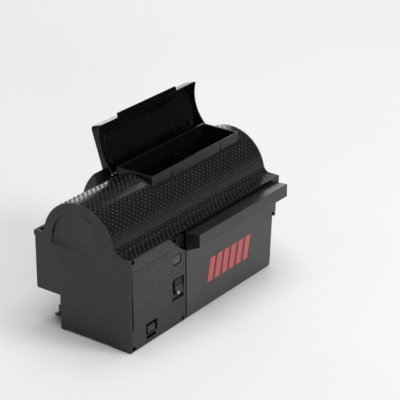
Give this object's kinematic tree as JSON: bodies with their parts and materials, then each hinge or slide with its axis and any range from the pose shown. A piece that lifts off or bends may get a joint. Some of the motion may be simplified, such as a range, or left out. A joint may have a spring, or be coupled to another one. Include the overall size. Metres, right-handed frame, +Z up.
{
  "type": "electronic multi-catch mouse trap",
  "caption": "Black plastic bait station with an arched roof, a hinged bait lid on top, a pull-out catch drawer and a control bay with a rocker switch.",
  "frame": {"origin": "under the middle of the bounding box, on the floor plane", "axes": "+X along the long side towards the right end as seen from the drawer side, -Y out of the drawer front, +Z up"},
  "size_m": [0.29, 0.155, 0.217],
  "materials": {
    "roof": "black, moulded with rows of small raised drops, semi-gloss",
    "body": "black, fine pebble grain, matte",
    "panel": "black, fine grain, satin",
    "gloss": "black, polished",
    "steel": "plated",
    "brass": "machined",
    "rubber": "matte",
    "board": "green solder mask",
    "lens": "smoked, polished",
    "cell": "plain printed wrap",
    "gear": "natural acetal",
    "coil": "winding tape"
  },
  "bodies": {
    "housing": {"left_end_plate": "body", "right_end_plate": "body", "base_shell": "body", "roof_cover": "roof", "rear_hood": "roof", "lid_hinge_pin": "steel", "bait_tray": "gloss", "control_panel": "panel", "panel_screw_1": "steel", "panel_screw_2": "steel", "panel_screw_3": "steel", "panel_screw_4": "steel", "roof_screw_1": "gloss", "roof_screw_2": "gloss", "roof_screw_3": "gloss", "switch_bezel": "panel", "rocker_pin": "steel", "indicator_lens": "lens", "indicator_led": "lens", "adapter_inlet": "gloss", "inlet_contact": "steel", "drawer_catch": "gloss", "entry_ramp": "body", "stair_flight": "body", "deck_plate": "body", "cradle_pin_left": "steel", "cradle_pin_right": "steel", "gear_motor": "steel", "circuit_board": "board", "high_voltage_transformer": "coil", "storage_capacitor": "gloss", "battery_holder": "body", "battery_cell_1": "cell", "battery_cell_2": "cell", "battery_cell_3": "cell", "battery_cell_4": "cell", "contact_spring_1": "steel", "contact_spring_2": "steel", "rubber_foot_1": "rubber", "rubber_foot_2": "rubber", "rubber_foot_3": "rubber", "rubber_foot_4": "rubber"},
    "lid": {"bait_lid": "gloss"},
    "drawer": {"drawer_front": "panel", "drawer_tray": "body"},
    "rocker": {"rocker": "gloss"},
    "inlet_flap": {"inlet_flap": "panel"},
    "cradle": {"shock_cradle": "gloss", "shock_plate_1": "steel", "shock_plate_2": "steel", "shock_plate_3": "steel", "cradle_gear": "gear"},
    "pinion": {"motor_pinion": "brass"},
    "battery_door": {"battery_door": "panel"}
  },
  "joints": [
    {"name": "lid_hinge", "type": "hinge", "parent": "housing", "child": "lid", "pos_m": [0, 0.0418, 0.156], "axis": [1, 0, 0], "range_deg": [0, 108]},
    {"name": "drawer_slide", "type": "slide", "parent": "housing", "child": "drawer", "axis": [0, -1, 0], "range_m": [0, 0.06]},
    {"name": "rocker_tilt", "type": "hinge", "parent": "housing", "child": "rocker", "pos_m": [-0.056, -0.0539, 0.0476], "axis": [1, 0, 0], "range_deg": [0, 18]},
    {"name": "inlet_flap_hinge", "type": "hinge", "parent": "housing", "child": "inlet_flap", "pos_m": [-0.1072, -0.0572, 0.013], "axis": [1, 0, 0], "range_deg": [0, 95]},
    {"name": "cradle_turn", "type": "hinge", "parent": "housing", "child": "cradle", "pos_m": [0.045, -0.0265, 0.086], "axis": [1, 0, 0], "range_deg": [0, 120]},
    {"name": "pinion_turn", "type": "hinge", "parent": "housing", "child": "pinion", "pos_m": [0.045, -0.01059, 0.10191], "axis": [1, 0, 0], "range_deg": [-270, 30]},
    {"name": "battery_door_hinge", "type": "hinge", "parent": "housing", "child": "battery_door", "pos_m": [-0.095, 0.0749, 0.0506], "axis": [-1, 0, 0], "range_deg": [0, 100]}
  ],
  "couplings": [
    {"joint": "pinion_turn", "follows": "cradle_turn", "ratio": -2}
  ]
}
